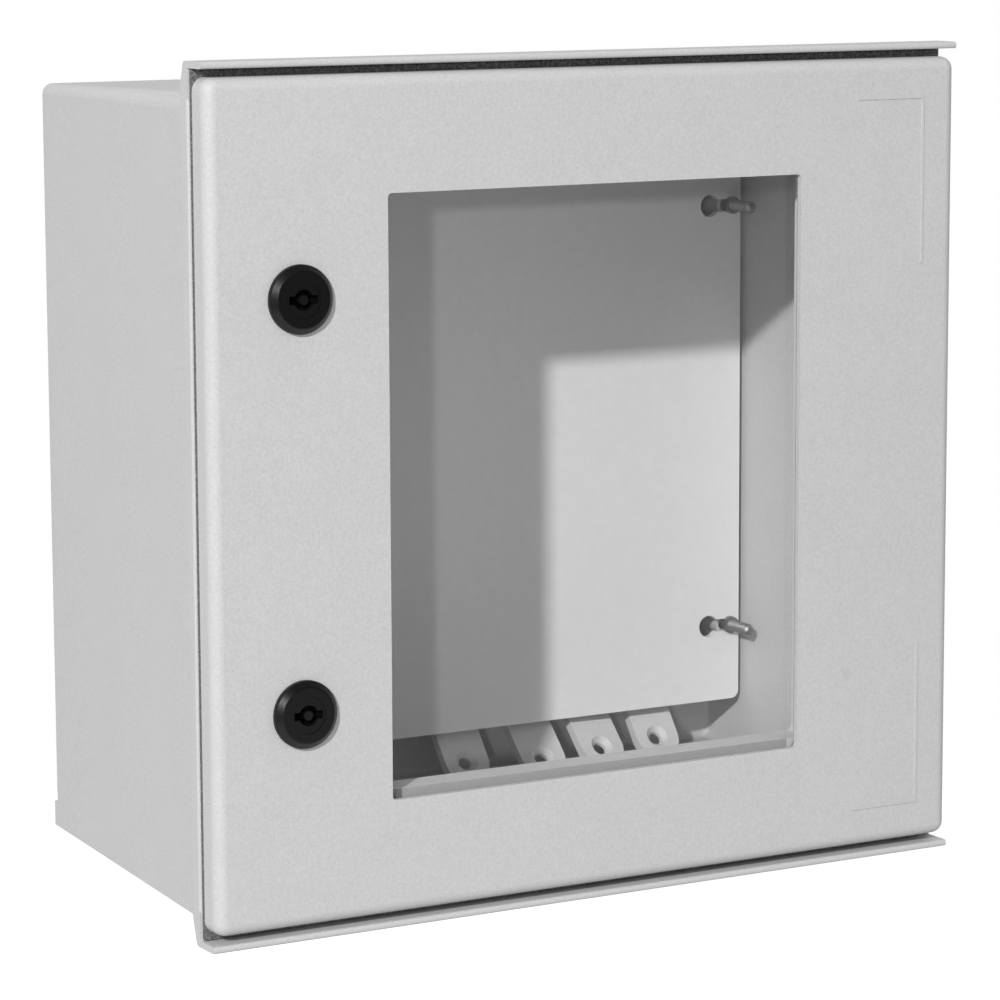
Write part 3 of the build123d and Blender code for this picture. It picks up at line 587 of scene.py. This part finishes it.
away_from_left_wall = (0.0, pi / 2, 0.0)
keeper_head = 0.0024
keeper_boxes = solids_of("keeper_screws")
keeper_screws = grow(
    screw_tree,
    "keeper_pan_screws",
    [
        (high.x - keeper_head, (low.y + high.y) / 2, (low.z + high.z) / 2)
        for low, high in keeper_boxes
    ],
    {
        "Seat Radius": 0.0036,
        "Rim Radius": 0.0035,
        "Crown Radius": 0.0022,
        "Lower Height": 0.0013,
        "Upper Height": 0.0011,
        "Shank Radius": 0.00195,
        "Shank Length": 0.0064,
        "Recess Span": 0.0034,
        "Recess Width": 0.0009,
        "Recess Depth": 0.0014,
        "Facing": away_from_left_wall,
    },
)
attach(keeper_screws, "body")
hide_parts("keeper_screws")


# Hinges
# A stainless bracket on the flange carries each hinge pin, which the door's lugs turn on behind its
# right edge. Countersunk screws sit flush in the bracket's foot.
dress(brushed_stainless, "upper_hinge_bracket", "lower_hinge_bracket")

draw_width = 0.25  # mm, drawing lines
draw_stretch = 0.02

# Drawn stainless wire: brighter than the sheet, with drawing lines along the pin.
drawn_wire, tree = new_material("drawn stainless wire")
place = add_node(tree, "ShaderNodeTexCoord").outputs["Object"]
along = add_node(
    tree, "ShaderNodeMapping", {"Vector": place, "Scale": (1.0, 1.0, draw_stretch)}
).outputs["Vector"]
draws = add_node(
    tree, "ShaderNodeTexNoise", {"Vector": along, "Scale": 1000 / draw_width}
).outputs["Fac"]
wire_grey = add_node(
    tree,
    "ShaderNodeMix",
    {"Factor": draws, 6: linear("#B2B2B1"), 7: linear("#D2D2D1")},
    data_type="RGBA",
).outputs[2]
wire = add_node(
    tree, "ShaderNodeBsdfPrincipled", {"Base Color": wire_grey, "Metallic": 1.0, "Roughness": 0.22}
)
add_node(tree, "ShaderNodeOutputMaterial", {"Surface": wire.outputs["BSDF"]})
dress(drawn_wire, "upper_hinge_pin", "lower_hinge_pin")

bracket_head = 0.00125
bracket_boxes = solids_of("hinge_bracket_screws")
bracket_screws = grow(
    screw_tree,
    "bracket_countersunk_screws",
    [
        ((low.x + high.x) / 2, low.y + bracket_head, (low.z + high.z) / 2)
        for low, high in bracket_boxes
    ],
    {
        "Seat Radius": 0.00125,
        "Rim Radius": 0.00245,
        "Crown Radius": 0.00235,
        "Lower Height": 0.0012,
        "Upper Height": 0.00005,
        "Shank Radius": 0.00122,
        "Shank Length": 0.00475,
        "Recess Span": 0.0026,
        "Recess Width": 0.0006,
        "Recess Depth": 0.0008,
        "Facing": towards_door,
    },
)
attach(bracket_screws, "body")
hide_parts("hinge_bracket_screws")


# Rim seal
# A flat strip of black polyurethane foam, stuck to the flange's front and under the lips. The
# door's rim closes on it on three sides, and its edge shows as a dark line round the door.
cell_width = 1.2  # mm, foam cells under the skin
cell_depth = 0.1  # mm

# Skinned foam: a dusty, matt black with paler specks, finely pitted.
skinned_foam, tree = new_material("skinned polyurethane foam")
place = add_node(tree, "ShaderNodeTexCoord").outputs["Object"]
cells = add_node(
    tree, "ShaderNodeTexVoronoi", {"Vector": place, "Scale": 1000 / cell_width}
).outputs["Distance"]
soot = add_node(
    tree,
    "ShaderNodeMix",
    {"Factor": cells, 6: linear("#2E2E2E"), 7: linear("#868686")},
    data_type="RGBA",
).outputs[2]
pits = add_node(
    tree, "ShaderNodeBump", {"Height": cells, "Strength": 0.5, "Distance": cell_depth / 1000}
).outputs["Normal"]
foam = add_node(
    tree,
    "ShaderNodeBsdfPrincipled",
    {"Base Color": soot, "Roughness": 0.8, "IOR": 1.45, "Normal": pits},
)
add_node(tree, "ShaderNodeOutputMaterial", {"Surface": foam.outputs["BSDF"]})
dress(skinned_foam, "rim_seal")


# Door
# A shallow pan of the same polyester with a large window and raised corner marks, moulded in one
# piece with the lugs of its hinges and the ribs that keep the gasket in place.
door_polyester, tree, shader = moulded_polyester("moulded polyester, door", "#B5B5B5", "#D5D5D5")
grey = shader.inputs["Base Color"].links[0].from_socket

# One round spot of the door's grey is a touch darker.
dark_spot_place = (0.140, -0.205, -0.106)
dark_spot_core = 0.0015
dark_spot_rim = 0.0042
dark_spot_share = 0.93  # share of the grey round it
place = add_node(tree, "ShaderNodeTexCoord").outputs["Object"]
away = add_node(
    tree, "ShaderNodeVectorMath", {0: place, 1: dark_spot_place}, operation="DISTANCE"
).outputs["Value"]
spot_darkening = add_node(
    tree,
    "ShaderNodeMapRange",
    {
        "Value": away,
        "From Min": dark_spot_core,
        "From Max": dark_spot_rim,
        "To Min": dark_spot_share,
        "To Max": 1.0,
    },
    interpolation_type="SMOOTHSTEP",
).outputs["Result"]
door_grey = add_node(
    tree, "ShaderNodeVectorMath", {0: grey, "Scale": spot_darkening}, operation="SCALE"
).outputs["Vector"]
tree.links.new(door_grey, shader.inputs["Base Color"])
dress(door_polyester, "door_panel")


# Door gasket
# An endless bead of black polyurethane foam, poured into the door's channel, where it skins over.
# It presses on the body's upstand all round the mouth.

# The bead follows a rounded rectangle in the door's plane and is swept with an oval section.
tree, given = new_tree(
    "poured_bead",
    ["Path Width", "Path Height", "Corner", "Bead Width", "Bead Height", "Facing"],
)
loop = add_node(
    tree,
    "GeometryNodeCurvePrimitiveQuadrilateral",
    {"Width": given["Path Width"], "Height": given["Path Height"]},
).outputs[0]
route = add_node(
    tree,
    "GeometryNodeFilletCurve",
    {"Curve": loop, "Count": 10, "Radius": given["Corner"]},
    mode="POLY",
).outputs[0]
round_section = add_node(
    tree, "GeometryNodeCurvePrimitiveCircle", {"Resolution": 20, "Radius": 0.5}
).outputs[0]
oval = add_node(
    tree, "ShaderNodeCombineXYZ", {"X": given["Bead Width"], "Y": given["Bead Height"], "Z": 1.0}
).outputs[0]
section = add_node(
    tree, "GeometryNodeTransform", {"Geometry": round_section, "Scale": oval}
).outputs[0]
bead = add_node(
    tree, "GeometryNodeCurveToMesh", {"Curve": route, "Profile Curve": section}
).outputs[0]
bead_turned = add_node(
    tree, "GeometryNodeTransform", {"Geometry": bead, "Rotation": given["Facing"]}
).outputs[0]
finish_tree(tree, given["Spots"], bead_turned, skinned_foam)

gasket_low, gasket_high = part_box("door_gasket")
gasket_width = 0.0056
gasket = grow(
    tree,
    "foam_gasket",
    [(gasket_low + gasket_high) / 2],
    {
        "Path Width": gasket_high.x - gasket_low.x - gasket_width,
        "Path Height": gasket_high.z - gasket_low.z - gasket_width,
        "Corner": 0.0068,
        "Bead Width": gasket_width,
        "Bead Height": gasket_high.y - gasket_low.y,
        "Facing": towards_door,
    },
)
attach(gasket, "door")
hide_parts("door_gasket")


# Window
# A clear polycarbonate pane on a thin foam strip, pressed against the door's skin by a polyester
# frame that ten pan-head screws hold from inside.
dress(skinned_foam, "window_seal")

# Clear polycarbonate: almost invisible, with a weak reflection. Lamps shine through it without
# loss, and light that bounces about inside the box passes it too.
clear_pane, tree = new_material("clear polycarbonate")
path = add_node(tree, "ShaderNodeLightPath").outputs
passing = add_node(
    tree,
    "ShaderNodeMath",
    {0: path["Is Shadow Ray"], 1: path["Is Diffuse Ray"]},
    operation="MAXIMUM",
).outputs[0]
pane = add_node(
    tree,
    "ShaderNodeBsdfPrincipled",
    {"Base Color": linear("#FCFCFC"), "Roughness": 0.0, "IOR": 1.45, "Transmission Weight": 1.0},
).outputs["BSDF"]
clear = add_node(tree, "ShaderNodeBsdfTransparent").outputs["BSDF"]
glazing = add_node(tree, "ShaderNodeMixShader", {0: passing, 1: pane, 2: clear}).outputs["Shader"]
add_node(tree, "ShaderNodeOutputMaterial", {"Surface": glazing})
dress(clear_pane, "window_pane")

frame_polyester, tree, shader = moulded_polyester(
    "moulded polyester, window frame", "#C6C6C6", "#DADADA"
)
grey = shader.inputs["Base Color"].links[0].from_socket

# A bare strip of darker grey runs along the front of the bottom rail, which shows under the pane.
strip_top = -0.1357
strip_end = 0.1095
strip_back = -0.1973
place = add_node(tree, "ShaderNodeTexCoord").outputs["Object"]
spot = add_node(tree, "ShaderNodeSeparateXYZ", {0: place}).outputs
on_strip = 1.0
for axis, limit in (("Z", strip_top), ("X", strip_end), ("Y", strip_back)):
    within = add_node(
        tree, "ShaderNodeMath", {0: spot[axis], 1: limit}, operation="LESS_THAN"
    ).outputs[0]
    on_strip = add_node(
        tree, "ShaderNodeMath", {0: on_strip, 1: within}, operation="MULTIPLY"
    ).outputs[0]
frame_grey = add_node(
    tree, "ShaderNodeMix", {"Factor": on_strip, 6: grey, 7: linear("#A6A6A6")}, data_type="RGBA"
).outputs[2]
tree.links.new(frame_grey, shader.inputs["Base Color"])
dress(frame_polyester, "window_frame")

towards_wall = (-pi / 2, 0.0, 0.0)
frame_head = 0.0026
frame_boxes = solids_of("window_frame_screws")
frame_screws = grow(
    screw_tree,
    "frame_pan_screws",
    [
        ((low.x + high.x) / 2, high.y - frame_head, (low.z + high.z) / 2)
        for low, high in frame_boxes
    ],
    {
        "Seat Radius": 0.0038,
        "Rim Radius": 0.0037,
        "Crown Radius": 0.0023,
        "Lower Height": 0.0014,
        "Upper Height": 0.0012,
        "Shank Radius": 0.00195,
        "Shank Length": 0.0079,
        "Recess Span": 0.0036,
        "Recess Width": 0.001,
        "Recess Depth": 0.0015,
        "Facing": towards_wall,
    },
)
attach(frame_screws, "door")
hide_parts("window_frame_screws")


# Locks
# Two quarter-turn locks: a black moulded housing through the door with a foam washer under its head
# and a zinc-plated nut behind, and a black rotor with a bit keyway that turns a zinc-plated cam.
fibre_width = 0.9  # mm, glass fibres that dull the surface
fibre_relief = 0.04  # mm

# Black glass-filled polyamide: a deep black with a dry, slightly uneven sheen.
black_polyamide, tree = new_material("black glass-filled polyamide")
place = add_node(tree, "ShaderNodeTexCoord").outputs["Object"]
fibres = add_node(
    tree, "ShaderNodeTexNoise", {"Vector": place, "Scale": 1000 / fibre_width, "Detail": 3.0}
).outputs["Fac"]
coal = add_node(
    tree,
    "ShaderNodeMix",
    {"Factor": fibres, 6: linear("#0B0B0B"), 7: linear("#151515")},
    data_type="RGBA",
).outputs[2]
dryness = add_node(
    tree, "ShaderNodeMapRange", {"Value": fibres, "To Min": 0.32, "To Max": 0.44}
).outputs["Result"]
rasp = add_node(
    tree, "ShaderNodeBump", {"Height": fibres, "Strength": 0.6, "Distance": fibre_relief / 1000}
).outputs["Normal"]
polyamide = add_node(
    tree,
    "ShaderNodeBsdfPrincipled",
    {"Base Color": coal, "Roughness": dryness, "Specular IOR Level": 0.25, "Normal": rasp},
)
add_node(tree, "ShaderNodeOutputMaterial", {"Surface": polyamide.outputs["BSDF"]})
for side in ("upper", "lower"):
    dress(black_polyamide, f"{side}_lock_housing", f"{side}_lock_rotor")
    dress(skinned_foam, f"{side}_lock_seal")
    dress(zinc_plate, f"{side}_lock_nut", f"{side}_lock_cam", f"{side}_cam_bolt")


# Studio
# A round paper floor well below the wall-hung box, a soft room that is brighter overhead, a small
# lamp high on the left and a weaker one lower, and a long lens from the left and a little above.
scene = bpy.context.scene
scene.view_settings.view_transform = "Standard"

floor_drop = 0.30
floor_radius = 1.5
floor_centre = -0.1  # along Y, under the middle of the box
floor_mesh = bpy.data.meshes.new("paper_floor")
disc = bmesh.new()
bmesh.ops.create_circle(disc, cap_ends=True, segments=96, radius=floor_radius)
disc.to_mesh(floor_mesh)
disc.free()
floor_mesh.transform(Matrix.Translation((0.0, floor_centre, cad_box[0].z - floor_drop)))
floor = bpy.data.objects.new("paper_floor", floor_mesh)
scene.collection.objects.link(floor)

paper_lift = 0.8

# Studio paper: it takes the object's shadow and throws little light up, and looks white to the
# camera, to metal and to glass.
studio_paper, tree = new_material("studio paper")
path = add_node(tree, "ShaderNodeLightPath").outputs
seen = add_node(
    tree,
    "ShaderNodeMath",
    {0: path["Is Camera Ray"], 1: path["Is Glossy Ray"]},
    operation="MAXIMUM",
).outputs[0]
seen_through = add_node(
    tree, "ShaderNodeMath", {0: seen, 1: path["Is Transmission Ray"]}, operation="MAXIMUM"
).outputs[0]
lift = add_node(
    tree, "ShaderNodeMath", {0: seen_through, 1: paper_lift}, operation="MULTIPLY"
).outputs[0]
glow = add_node(tree, "ShaderNodeEmission", {"Strength": lift}).outputs[0]
paper = add_node(tree, "ShaderNodeBsdfDiffuse", {"Color": linear("#C0C0C0")}).outputs[0]
lit_paper = add_node(tree, "ShaderNodeAddShader", {0: paper, 1: glow}).outputs[0]
add_node(tree, "ShaderNodeOutputMaterial", {"Surface": lit_paper})
floor_mesh.materials.append(studio_paper)

# The room: a soft light, stronger from above and from the right, and white to the camera. Gloss
# sees white behind the object and the dim front of the room behind the camera.
room_light = 0.37
more_above = 0.45
more_right = 0.4
dim_front = 0.05
backdrop_edge = 0.3  # how gradually the front of the room gives way to the backdrop
world = bpy.data.worlds.new("studio room")
world.use_nodes = True
scene.world = world
tree = world.node_tree
tree.nodes.clear()
path = add_node(tree, "ShaderNodeLightPath").outputs
seen = add_node(
    tree,
    "ShaderNodeMath",
    {0: path["Is Camera Ray"], 1: path["Is Transmission Ray"]},
    operation="MAXIMUM",
).outputs[0]
direction = add_node(tree, "ShaderNodeTexCoord").outputs["Generated"]
towards = add_node(tree, "ShaderNodeSeparateXYZ", {0: direction}).outputs
lean = (room_light * more_right, 0.0, room_light * more_above)
leaning = add_node(
    tree, "ShaderNodeVectorMath", {0: direction, 1: lean}, operation="DOT_PRODUCT"
).outputs["Value"]
softness = add_node(tree, "ShaderNodeMath", {0: leaning, 1: room_light}, operation="ADD").outputs[0]
backdrop = add_node(
    tree,
    "ShaderNodeMapRange",
    {
        "Value": towards["Y"],
        "From Min": -backdrop_edge,
        "From Max": backdrop_edge,
        "To Min": dim_front,
        "To Max": 1.0,
    },
    interpolation_type="SMOOTHSTEP",
).outputs["Result"]
gloss = add_node(
    tree,
    "ShaderNodeMix",
    {"Factor": path["Is Glossy Ray"], "A": softness, "B": backdrop},
    data_type="FLOAT",
).outputs[0]
strength = add_node(
    tree, "ShaderNodeMix", {"Factor": seen, "A": gloss, "B": 1.0}, data_type="FLOAT"
).outputs[0]
room = add_node(
    tree, "ShaderNodeBackground", {"Color": linear("#FFFFFF"), "Strength": strength}
).outputs[0]
add_node(tree, "ShaderNodeOutputWorld", {"Surface": room})


def hang_lamp(name, aim, travel, distance, width, power):
    """A round lamp that shines along travel onto the aim."""
    lamp = bpy.data.lights.new(name, "AREA")
    lamp.shape = "DISK"
    lamp.size = width
    lamp.energy = power
    hung = bpy.data.objects.new(name, lamp)
    ray = Vector(travel).normalized()
    hung.location = Vector(aim) - distance * ray
    hung.rotation_euler = ray.to_track_quat("-Z", "Y").to_euler()
    scene.collection.objects.link(hung)


window_corner = (-0.1115, -0.205, 0.1393)
lamp_distance = 4.5
key_travel = (0.6767, 0.6244, -0.3908)
side_travel = (0.685, 1.0, -0.143)
hang_lamp("key lamp", window_corner, key_travel, lamp_distance, width=0.155, power=174.0)
hang_lamp("side lamp", window_corner, side_travel, lamp_distance, width=0.135, power=25.0)

lens = 142.46  # mm
viewpoint = (-0.9476, -1.7705, 0.2718)
yaw = radians(-29.71)
pitch = radians(90 - 8.71)
roll = radians(-0.24)
camera_data = bpy.data.cameras.new("camera")
camera_data.sensor_width = 36.0
camera_data.lens = lens
camera = bpy.data.objects.new("camera", camera_data)
camera.matrix_world = (
    Matrix.Translation(viewpoint)
    @ Matrix.Rotation(yaw, 4, "Z")
    @ Matrix.Rotation(pitch, 4, "X")
    @ Matrix.Rotation(roll, 4, "Z")
)
scene.collection.objects.link(camera)
scene.camera = camera
